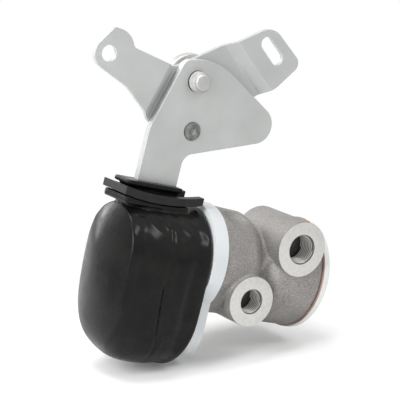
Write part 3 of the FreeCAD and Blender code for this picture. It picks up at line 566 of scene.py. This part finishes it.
def cut_port(grown, port):
    """Cuts a port with the undercut at its floor and the passage to the bore."""
    bottom = PORT_FACE_Y + port.depth
    for radius, front, back, sides in (
        (port.hole_r, PORT_FACE_Y - 1, bottom, 80),
        (port.hole_r + UNDERCUT_DEPTH, bottom - UNDERCUT_WIDTH, bottom, 80),
        (PASSAGE_R, bottom - 1, 1.0, 32),
    ):
        cut_away(grown, bar_y("cutter", radius, front, back, port.x, port.z, sides))


def casting():
    """The casting with its machined faces, bore, holes and ports."""
    grown = rough_casting()
    trim(grown)
    for port in (UPPER_PORT, LOWER_PORT):
        add_port_face(grown, port)
    holes = [turned("bore", BORE_SECTION)]
    for x in PAD_HOLES_X:
        holes.append(bar_y("pad_hole", PAD_HOLE_R, 15.5, PAD_FACE_Y + 1, x, 0, 48))
    for y in SCREW_HOLES_Y:
        holes.append(bar_x("screw_hole", SCREW_HOLE_R, -1, 7.5, y, 0, 32))
    cut_away(grown, joined(holes))
    cut_dimple(grown)
    for port in (UPPER_PORT, LOWER_PORT):
        cut_port(grown, port)
    smooth_by_angle(grown, 38)
    return grown


def ridge_coil(name, x, z, crest, root, y0, turns, pitch, inward):
    """A screw thread as one coil of a ridge about an axis along y, closed at both ends."""
    sunk = 0.08
    base = root + (sunk if inward else -sunk)
    half = pitch * 0.48
    line = drawn_line(name, [
        (x + base, y0, z), (x + crest, y0 + half * 0.92, z), (x + crest, y0 + half * 1.08, z),
        (x + base, y0 + 2 * half, z),
    ])
    bpy.ops.mesh.select_all(action="SELECT")
    bpy.ops.mesh.edge_face_add()
    bpy.ops.mesh.delete(type="ONLY_FACE")
    leave_edit()
    axis = place(x, y0, z)
    line.location = -axis
    settle(line)
    apply_modifier(
        line,
        "SCREW",
        axis="Y",
        angle=2 * math.pi,
        screw_offset=pitch * MM,
        iterations=turns,
        steps=40,
        render_steps=40,
        use_smooth_shade=True,
    )
    line.location = axis
    settle(line)
    edit(line)
    bpy.ops.mesh.select_mode(type="EDGE")
    bpy.ops.mesh.select_all(action="DESELECT")
    bpy.ops.mesh.select_non_manifold()
    bpy.ops.mesh.fill_holes(sides=6)
    bpy.ops.mesh.select_all(action="SELECT")
    bpy.ops.mesh.normals_make_consistent(inside=False)
    leave_edit()
    smooth_by_angle(line, 30)
    return line


body = casting()
finish_piece(body, "casting", "valve", "cast_aluminium", cast_skin, "valve_body")
for name, port, finish in (
    ("upper_thread", UPPER_PORT, upper_thread_finish),
    ("lower_thread", LOWER_PORT, lower_thread_finish),
):
    crest_r = port.hole_r - THREAD_HEIGHT
    first_y = PORT_FACE_Y + 0.3
    thread = ridge_coil(name, port.x, port.z, crest_r, port.hole_r, first_y, port.threads, 1.0, True)
    finish_piece(thread, name, "valve", "cast_aluminium", finish)


# Sheet lever, bracket and their fasteners

finish_piece(eased_copy("lever", 0.3), "lever_sheet", "lever", "lever_steel", sheet_steel, "lever")
finish_piece(
    eased_copy("adjuster_bracket", 0.25),
    "bracket_sheet",
    "adjuster",
    "lever_steel",
    sheet_steel,
    "adjuster_bracket",
)
thick_washer = eased_copy("clamp_washer", 0.2)
finish_piece(thick_washer, "thick_washer", "lever", "plated_steel", bolt_steel, "clamp_washer")


def bolt():
    """The clamp bolt: a threaded shank with a bevelled end in front and a hexagon head behind."""
    core = bar_y("clamp_screw", BOLT_CORE_R, -6.5, 8.0, BOLT_X, BOLT_Z, 64)
    edit(core)
    pick(core, lambda p: p.y < -6.4)
    bpy.ops.mesh.bevel(offset=0.9 * MM, segments=3, affect="EDGES")
    leave_edit()
    head = bar_y("bolt_head", 7.5, 7.0, 12.0, BOLT_X, BOLT_Z, 6)
    edit(head)
    bpy.ops.mesh.select_all(action="SELECT")
    bpy.ops.mesh.bevel(offset=0.35 * MM, segments=2, affect="EDGES")
    leave_edit()
    thread = ridge_coil("bolt_thread", BOLT_X, BOLT_Z, BOLT_THREAD_R, BOLT_CORE_R, -5.7, 3, 1.25, False)
    whole = joined([core, head, thread])
    smooth_by_angle(whole, 32)
    return whole


finish_piece(bolt(), "clamp_screw", "lever", "plated_steel", bolt_steel, "clamp_bolt")


# Boot

# Sections from the rim forwards: x, radius of the two ends, z of the upper and of the lower end's centre
BOOT_SECTIONS = [
    (-6.2, 22.0, -1.5, -21.0),
    (-8.8, 22.0, -1.5, -21.2),
    (-11.8, 20.9, -1.5, -22.0),
    (-15.0, 21.1, -1.7, -22.6),
    (-19.5, 20.8, -1.7, -23.1),
    (-24.0, 20.2, -1.4, -23.6),
    (-28.0, 19.6, -1.0, -23.6),
    (-31.3, 19.0, -0.6, -23.0),
    (-34.4, 18.3, -0.2, -22.2),
    (-37.6, 17.6, -0.3, -20.6),
    (-41.0, 17.0, -0.8, -17.5),
    (-45.0, 16.4, -1.4, -12.0),
]
# The front's profile at mid width as z, x; it bows back to the sides
FRONT_PROFILE = [
    (-47.5, -21.0),
    (-43.6, -28.0),
    (-41.2, -32.6),
    (-37.6, -36.8),
    (-31.9, -39.6),
    (-22.3, -41.5),
    (-10.0, -42.6),
    (3.0, -42.7),
    (13.4, -41.1),
    (22.0, -36.5),
]
FRONT_BOW_R = 48.0
OPENING_R = 18.8
BOOT_WALL = 2.1
ARC_STEPS = 20
SIDE_STEPS = 8


def follow(table, at):
    """The values at a place along a table, on smooth curves through its rows."""
    rows = sorted(table)
    last = len(rows) - 1
    i = 0
    while i < last - 1 and at > rows[i + 1][0]:
        i += 1
    here, there = rows[i], rows[i + 1]
    before, after = rows[max(i - 1, 0)], rows[min(i + 2, last)]
    run = there[0] - here[0]
    t = min(max((at - here[0]) / run, 0.0), 1.0)
    values = []
    for k in range(1, len(here)):
        rise_here = (there[k] - before[k]) / (there[0] - before[0]) * run
        rise_there = (after[k] - here[k]) / (after[0] - here[0]) * run
        values.append(
            (2 * t ** 3 - 3 * t ** 2 + 1) * here[k]
            + (t ** 3 - 2 * t ** 2 + t) * rise_here
            + (3 * t ** 2 - 2 * t ** 3) * there[k]
            + (t ** 3 - t ** 2) * rise_there
        )
    return values


def front_x(y, z):
    return follow(FRONT_PROFILE, z)[0] + FRONT_BOW_R - math.sqrt(FRONT_BOW_R ** 2 - y ** 2)


def outline(radius, upper, lower):
    """Points round an upright outline with two round ends and straight sides, as (y, z)."""
    points = []
    for i in range(ARC_STEPS):
        turn = math.pi * (i + 0.5) / ARC_STEPS
        points.append((radius * math.cos(turn), upper + radius * math.sin(turn)))
    for i in range(SIDE_STEPS):
        points.append((-radius, upper + (lower - upper) * (i + 0.5) / SIDE_STEPS))
    for i in range(ARC_STEPS):
        turn = math.pi * (i + 0.5) / ARC_STEPS
        points.append((-radius * math.cos(turn), lower - radius * math.sin(turn)))
    for i in range(SIDE_STEPS):
        points.append((radius, lower + (upper - lower) * (i + 0.5) / SIDE_STEPS))
    return points


def reach(i):
    """How far forward the side runs at one point of the outline before it meets the front."""
    back, front = -6.2, -45.0
    for step in range(24):
        x = (back + front) / 2
        y, z = outline(*follow(BOOT_SECTIONS, x))[i]
        if x > front_x(y, z):
            back = x
        else:
            front = x
    return (back + front) / 2


def boot_rings():
    """The boot's rings as lists of points: opening, rim, side, and front towards its middle."""
    count = 2 * (ARC_STEPS + SIDE_STEPS)
    ends = [reach(i) for i in range(count)]
    opening = []
    for y, z in outline(1.0, 0.35, -0.35):
        size = OPENING_R / math.hypot(y, z)
        opening.append((-6.3, y * size, z * size))
    rim = [(-6.3, y, z) for y, z in outline(21.2, -1.5, -21.0)]
    rings = [opening, rim]
    for share in (0.035, 0.09, 0.16, 0.24, 0.34, 0.46, 0.58, 0.70, 0.81, 0.90, 0.955, 0.985, 1.0):
        ring = []
        for i in range(count):
            x = -6.3 + share * (ends[i] + 6.3)
            y, z = outline(*follow(BOOT_SECTIONS, x))[i]
            ring.append((x, y, z))
        rings.append(ring)
    crest = rings[-1]
    for share in (0.975, 0.93, 0.84, 0.70, 0.52, 0.34, 0.17, 0.05):
        ring = []
        for x, y, z in crest:
            inner_y = y * share
            inner_z = -11.0 + (z + 11.0) * share
            ring.append((front_x(inner_y, inner_z), inner_y, inner_z))
        rings.append(ring)
    return rings


def boot_shell():
    """The boot's skin: a ring drawn out from place to place, closed at the front and given its wall."""
    rings = boot_rings()
    bpy.ops.object.select_all(action="DESELECT")
    bpy.ops.mesh.primitive_circle_add(vertices=len(rings[0]), radius=OPENING_R * MM)
    shell = bpy.context.object
    for point, target in zip(shell.data.vertices, rings[0]):
        point.co = place(*target)
    settle(shell)
    edit(shell)
    bpy.ops.mesh.select_all(action="SELECT")
    for here, after in zip(rings, rings[1:]):
        bpy.ops.mesh.extrude_edges_move()
        mesh = bmesh.from_edit_mesh(shell.data)
        starts = [place(*point) for point in here]
        for point in [v for v in mesh.verts if v.select]:
            nearest = min(range(len(starts)), key=lambda i: (starts[i] - point.co).length)
            point.co = place(*after[nearest])
        bmesh.update_edit_mesh(shell.data)
    bpy.ops.mesh.merge(type="CENTER")
    bpy.ops.mesh.select_all(action="SELECT")
    bpy.ops.mesh.normals_make_consistent(inside=False)
    leave_edit()
    apply_modifier(shell, "SUBSURF", levels=2, render_levels=2)
    apply_modifier(shell, "SOLIDIFY", thickness=BOOT_WALL * MM, offset=-1)
    return shell


def clip_z(x):
    """Height of the clip's underside along its bow."""
    t = (x + 26.0) / 17.4
    rise = 1.7 if t < 0 else 2.0
    return 19.2 + rise * t * t


def bowed(block, gap):
    """Bends a block's top to follow the clip's underside."""
    edit(block)
    bpy.ops.mesh.select_all(action="SELECT")
    bpy.ops.mesh.subdivide(number_cuts=6)
    mesh = bmesh.from_edit_mesh(block.data)
    for point in mesh.verts:
        p = point.co / MM + PAD
        if p.z > 18.2:
            point.co = place(p.x, p.y, p.z + clip_z(p.x) - 19.2 - gap)
    bmesh.update_edit_mesh(block.data)
    leave_edit()


def dent(across, width, depth):
    """Depth of a soft hollow at a distance across its line."""
    return depth * math.exp(-((across / width) ** 2))


# The mould line down the boot's sides as z, x
MOULD_LINE = [
    (-44.0, -18.5), (-38.9, -19.9), (-30.0, -21.8), (-23.6, -22.8), (-12.0, -23.8), (-5.4, -24.0),
    (5.0, -24.2), (14.5, -24.0),
]
MOULD_LINE_WIDTH = 0.7
MOULD_LINE_DEPTH = 0.35
CREASE_DEPTH = 0.55
CREASE_Z, CREASE_HALF = -19.0, 12.0
HOLLOW_X, HOLLOW_WIDTH, HOLLOW_DEPTH = -12.2, 2.6, 1.1
HOLLOW_Z, HOLLOW_HALF = -15.0, 15.0
GROOVE_FROM_FRONT, GROOVE_WIDTH, GROOVE_DEPTH = 4.6, 2.1, 0.75
WAVE_DEPTH = 0.22
SIDE_TOP_Z = 16.9
SIDE_END_X = -8.0
SIDE_HALF_WIDTH = 18.0
WIDEST = 22.2


def stretch(z, middle, half):
    """Nearly 1 along a stretch of the side and fading to 0 past its ends."""
    return math.exp(-(((z - middle) / half) ** 4))


def side_depth(p):
    """How deep the side is worked in at one point, in millimetres."""
    line_x = follow(MOULD_LINE, p.z)[0]
    past_line = p.x - line_x
    line_depth = MOULD_LINE_DEPTH + CREASE_DEPTH * stretch(p.z, CREASE_Z, CREASE_HALF)
    depth = dent(past_line, MOULD_LINE_WIDTH, line_depth) - dent(past_line - 1.8, 1.4, 0.2)
    depth += dent(past_line + 2.6, 1.8, 0.12)
    depth += dent(p.x - HOLLOW_X, HOLLOW_WIDTH, HOLLOW_DEPTH) * stretch(p.z, HOLLOW_Z, HOLLOW_HALF)
    if p.z < 14.0:
        depth += dent(p.x - front_x(p.y, p.z) - GROOVE_FROM_FRONT, GROOVE_WIDTH, GROOVE_DEPTH)
    if p.z > 6.0:
        wave = math.sin(p.x * 0.75 + p.z * 0.35) * math.sin(p.z * 0.9 + p.x * 0.12)
        depth += WAVE_DEPTH * wave * min(1.0, (p.z - 6.0) / 5.0)
    return depth


def work_rubber(skin):
    """Works the mould line, its crease, the hollows and the soft waves into the boot's sides."""
    for point in skin.data.vertices:
        p = point.co / MM + PAD
        side = abs(p.y) / SIDE_HALF_WIDTH
        if p.z > SIDE_TOP_Z or side < 0.35 or p.x > SIDE_END_X:
            continue
        strength = min(1.0, (side - 0.35) * 3.0) * min(1.0, max(0.0, (p.z + 43.0) / 9.0))
        y = abs(p.y) - side_depth(p) * strength
        point.co.y = (math.copysign(min(y, WIDEST), p.y) - PAD.y) * MM


def boot():
    shell = boot_shell()
    flange = slab("flange", -42.3, -14.3, -8.9, 8.9, 17.4, 19.2, 0.5, 2)
    bowed(flange, 0.2)
    neck = slab("neck", -39.2, -17.6, -4.4, 4.4, 14.4, 24.6, 0.4, 2)
    lip = slab("lip", -41.3, -16.6, -5.9, 5.9, 24.1, 26.1, 0.7, 3)
    ridge = slab("ridge", -36.9, -16.9, -3.0, 3.0, 25.6, 26.2, 0.25, 2)
    whole = joined([shell, flange, neck, lip, ridge])
    voxel = 0.5
    apply_modifier(whole, "REMESH", mode="VOXEL", voxel_size=voxel * MM)
    apply_modifier(whole, "SMOOTH", factor=0.5, iterations=4)
    cut_away(whole, slab("throat", -35.6, -17.1, -1.9, 1.9, 10, 30))
    work_rubber(whole)
    smooth_by_angle(whole, 50)
    return whole


rubber_boot = finish_piece(boot(), "rubber_boot", None, "boot_rubber", boot_rubber, "boot")
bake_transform(rubber_boot)


# Retainer, clip, cap and the pieces inside

finish_piece(
    eased_copy("boot_retainer", 0.7, 3),
    "retainer_ring",
    "valve",
    "white_plastic",
    white_plastic,
    "boot_retainer",
)
finish_piece(eased_copy("neck_clip", 0.5, 3), "bowed_clip", "lever", "clip_plastic", clip_rubber, "neck_clip")

INNER_FINISHES = {
    "end_cap": cap_plastic,
    "adjuster_rivet": rivet_steel,
    "end_plug": bolt_steel,
    "lever_pin": bolt_steel,
    "pin_clips": spring_wire,
    "pin_spacers": bolt_steel,
    "pivot_bracket": sheet_steel,
    "bracket_screws": bolt_steel,
    "plunger": bolt_steel,
    "spring_seat": bolt_steel,
    "valve_spring": spring_wire,
    "bush_ring": spring_wire,
    "guide_bush": bush_brass,
    "plug_seal": seal_rubber,
    "bush_seal": seal_rubber,
    "stem_seal": seal_rubber,
    "piston_seal": seal_rubber,
}
for node, finish in INNER_FINISHES.items():
    solid = frame["nodes"][node]
    solid.data.materials.clear()
    solid.data.materials.append(finish)


# Floor, light and camera

TO_CAMERA = Vector((-0.5564, -0.8250, 0.0992)).normalized()
UP = Vector((-0.2756, 0.0, 0.9613)).normalized()
TARGET = place(-4.5, 0, 22.4)
CAMERA_DISTANCE = 0.620
SHADOW_KEPT_TO = 0.030
PLAIN_WHITE_FROM = 0.110
FLOOR_RADIUS = 2.0
WORLD_STRENGTH = 0.46


def lowest_along(direction):
    low = 1e9
    for piece in bpy.data.objects:
        if piece.type != "MESH" or piece.hide_render:
            continue
        for point in piece.data.vertices:
            low = min(low, point.co.dot(direction))
    return low


def floor_finish(centre):
    """White floor that keeps the object's shadow near it and fades to plain white further out."""
    finish, nodes, links = node_tree("pale_floor")
    shader = nodes["Principled BSDF"]
    shader.inputs["Base Color"].default_value = (0.86, 0.86, 0.86, 1)
    shader.inputs["Roughness"].default_value = 0.9
    rays = nodes.new("ShaderNodeLightPath")
    white = nodes.new("ShaderNodeEmission")
    coordinates = nodes.new("ShaderNodeTexCoord")
    distance = nodes.new("ShaderNodeVectorMath")
    distance.operation = "DISTANCE"
    distance.inputs[1].default_value = centre
    links.new(coordinates.outputs["Object"], distance.inputs[0])
    fade = nodes.new("ShaderNodeMapRange")
    fade.interpolation_type = "SMOOTHSTEP"
    fade.inputs["From Min"].default_value = SHADOW_KEPT_TO
    fade.inputs["From Max"].default_value = PLAIN_WHITE_FROM
    links.new(distance.outputs["Value"], fade.inputs["Value"])
    seen = nodes.new("ShaderNodeMath")
    seen.operation = "MULTIPLY"
    links.new(rays.outputs["Is Camera Ray"], seen.inputs[0])
    links.new(fade.outputs["Result"], seen.inputs[1])
    lift = nodes.new("ShaderNodeMath")
    lift.operation = "MULTIPLY"
    lift.inputs[1].default_value = 0.08
    links.new(rays.outputs["Is Camera Ray"], lift.inputs[0])
    links.new(lift.outputs["Value"], shader.inputs["Emission Strength"])
    mixed = nodes.new("ShaderNodeMixShader")
    links.new(seen.outputs["Value"], mixed.inputs["Fac"])
    links.new(shader.outputs["BSDF"], mixed.inputs[1])
    links.new(white.outputs["Emission"], mixed.inputs[2])
    links.new(mixed.outputs["Shader"], nodes["Material Output"].inputs["Surface"])
    return finish


def floor():
    """The floor lies just under the object's lowest point, square to the picture's upright."""
    level = lowest_along(UP) - 0.0002
    spot = place(2, 0, 0)
    foot = spot + UP * (level - spot.dot(UP))
    bpy.ops.object.select_all(action="DESELECT")
    bpy.ops.mesh.primitive_circle_add(vertices=96, radius=FLOOR_RADIUS, fill_type="NGON")
    ground = bpy.context.object
    ground.name = "floor"
    ground.matrix_world = Matrix.Translation(foot) @ UP.to_track_quat("Z", "Y").to_matrix().to_4x4()
    settle(ground)
    ground.data.materials.append(floor_finish(foot))


def lamp(name, position, target, width, height, power):
    """An oval lamp that faces its target."""
    light = bpy.data.lights.new(name, "AREA")
    light.shape = "ELLIPSE"
    light.size = width
    light.size_y = height
    light.energy = power
    holder = bpy.data.objects.new(name, light)
    bpy.context.scene.collection.objects.link(holder)
    holder.location = position
    holder.rotation_euler = (target - position).to_track_quat("-Z", "Y").to_euler()


def world():
    """Soft even light, with plain white behind the object and in its reflections."""
    room = bpy.data.worlds.new("studio")
    bpy.context.scene.world = room
    room.use_nodes = True
    nodes = room.node_tree.nodes
    links = room.node_tree.links
    rays = nodes.new("ShaderNodeLightPath")
    any_seen = nodes.new("ShaderNodeMath")
    any_seen.operation = "MAXIMUM"
    both = nodes.new("ShaderNodeMath")
    both.operation = "MAXIMUM"
    links.new(rays.outputs["Is Camera Ray"], any_seen.inputs[0])
    links.new(rays.outputs["Is Glossy Ray"], any_seen.inputs[1])
    links.new(any_seen.outputs["Value"], both.inputs[0])
    links.new(rays.outputs["Is Transmission Ray"], both.inputs[1])
    strength = nodes.new("ShaderNodeMapRange")
    strength.inputs["To Min"].default_value = WORLD_STRENGTH
    strength.inputs["To Max"].default_value = 1.0
    links.new(both.outputs["Value"], strength.inputs["Value"])
    background = nodes["Background"]
    background.inputs["Color"].default_value = (1, 1, 1, 1)
    links.new(strength.outputs["Result"], background.inputs["Strength"])


def camera():
    lens = bpy.data.cameras.new("camera")
    lens.sensor_width = 36.0
    lens.lens = 144.0
    lens.clip_start = 0.01
    holder = bpy.data.objects.new("camera", lens)
    bpy.context.scene.collection.objects.link(holder)
    upright = (UP - TO_CAMERA * UP.dot(TO_CAMERA)).normalized()
    side = upright.cross(TO_CAMERA)
    turn = Matrix((side, upright, TO_CAMERA)).transposed().to_4x4()
    holder.matrix_world = Matrix.Translation(TARGET + TO_CAMERA * CAMERA_DISTANCE) @ turn
    bpy.context.scene.camera = holder
    return side, upright


floor()
world()
side, upright = camera()
lamp("key", TARGET + upright * 0.62 - side * 0.15 + TO_CAMERA * 0.16, TARGET, 0.45, 0.45, 3.4)
lamp("crest_strip", TARGET + Vector((-0.52, -0.15, 0.13)), TARGET, 0.12, 0.46, 2.2)
lamp("shoulder_box", TARGET + upright * 0.35 + side * 0.35 + TO_CAMERA * 0.30, TARGET, 0.18, 0.18, 0.7)
boot_edge = place(-42, 7, 0)
lamp("edge_strip", boot_edge + Vector((-0.287, 0.953, 0.30)) * 0.45, boot_edge, 0.09, 0.40, 0.75)
bpy.context.scene.view_settings.view_transform = "Standard"
